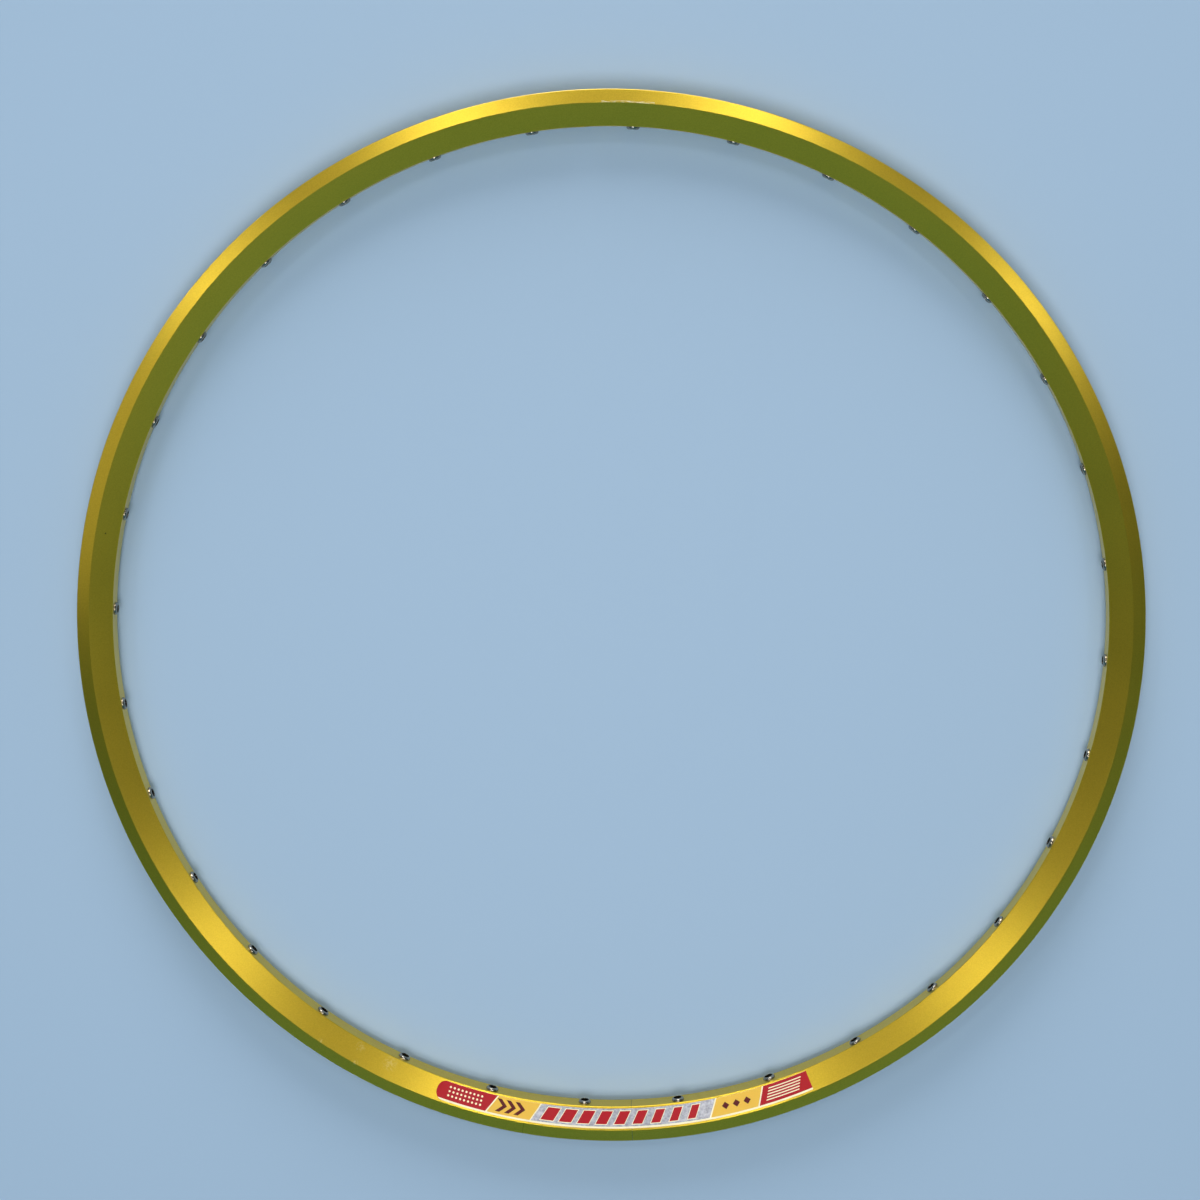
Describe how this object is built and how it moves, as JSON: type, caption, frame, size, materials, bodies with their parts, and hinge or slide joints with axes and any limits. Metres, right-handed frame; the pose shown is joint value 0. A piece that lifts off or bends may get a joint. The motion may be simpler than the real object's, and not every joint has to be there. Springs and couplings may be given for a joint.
{
  "type": "bicycle rim",
  "caption": "Hollow aluminium hoop for a mountain-bike wheel, with hooked flanges for the tyre, steel eyelets for the spokes and a valve hole.",
  "frame": {"origin": "centre of the hoop, on the wheel's axis and in the middle plane of the rim", "axes": "+Z along the wheel's axis, towards the labelled side; +Y towards the valve hole; the butt joint is at -Y. The rim lies flat on its other side."},
  "size_m": [0.571, 0.5709, 0.023],
  "materials": {
    "anodised_hoop": "satin gold anodised",
    "eyelet_steel": "bright plated",
    "plain_aluminium": "as extruded",
    "label_film": "printed film"
  },
  "bodies": {
    "root": {"rim_hoop": "anodised_hoop", "spoke_eyelets": "eyelet_steel", "joint_sleeve": "plain_aluminium", "side_label": "label_film"}
  },
  "joints": []
}
